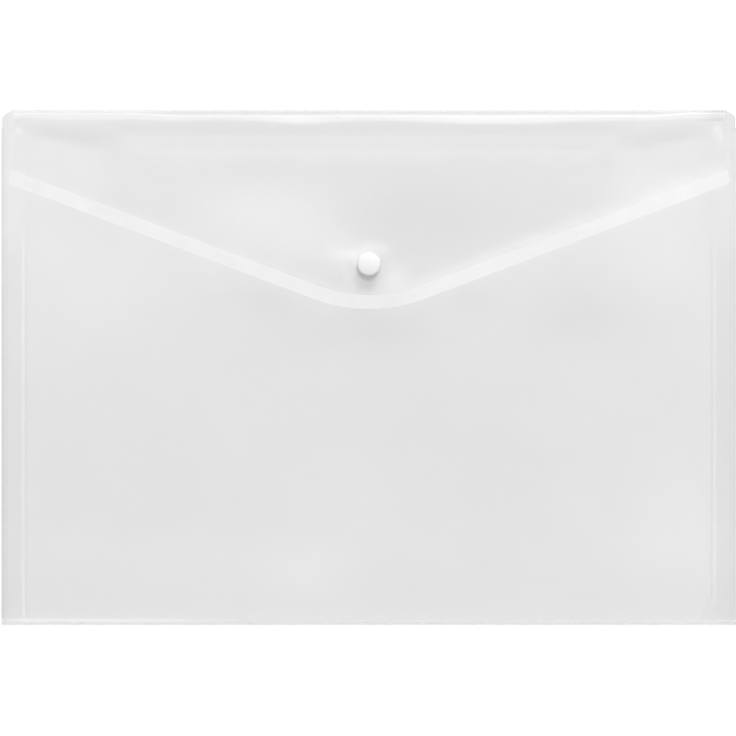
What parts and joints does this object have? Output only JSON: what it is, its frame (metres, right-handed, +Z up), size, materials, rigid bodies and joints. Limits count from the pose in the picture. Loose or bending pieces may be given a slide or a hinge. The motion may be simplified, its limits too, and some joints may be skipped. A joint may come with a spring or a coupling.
{
  "type": "document wallet",
  "caption": "Flat A4 envelope wallet of clear film with folded side gussets, a narrow spine, a pointed flap with a pale edge band, and a press stud that shuts it.",
  "frame": {"origin": "centre of the bounding box on the face that the wallet lies on", "axes": "+X across the wallet, +Y from the bottom fold to the top fold, +Z up out of the front"},
  "size_m": [0.335, 0.235, 0.0115],
  "materials": {
    "film": "clear, slightly milky polypropylene film, calendered with a fine grain",
    "edge_band": "frosted polypropylene strip welded along the edge",
    "stud_plastic": "white moulded acetal, smooth"
  },
  "bodies": {
    "back": {"back_panel": "film", "bottom_fold": "film", "left_gusset": "film", "right_gusset": "film"},
    "spine": {"spine": "film"},
    "flap": {"flap": "film", "flap_edge_band": "edge_band", "button_cap": "stud_plastic", "snap_socket": "stud_plastic"},
    "front": {"front_panel": "film", "snap_stud": "stud_plastic", "stud_base": "stud_plastic"}
  },
  "joints": [
    {"name": "spine_fold", "type": "hinge", "parent": "back", "child": "spine", "pos_m": [0, 0.1172, 0.0003], "axis": [-1, 0, 0], "range_deg": [0, 116.8]},
    {"name": "flap_fold", "type": "hinge", "parent": "spine", "child": "flap", "pos_m": [0, 0.1127, 0.0092], "axis": [-1, 0, 0], "range_deg": [0, 60]},
    {"name": "front_fold", "type": "hinge", "parent": "back", "child": "front", "pos_m": [0, -0.1143, 0.0032], "axis": [1, 0, 0], "range_deg": [-1.5, 0], "stiffness_Nm_per_rad": 5, "deforming": ["left_gusset", "right_gusset"]}
  ]
}
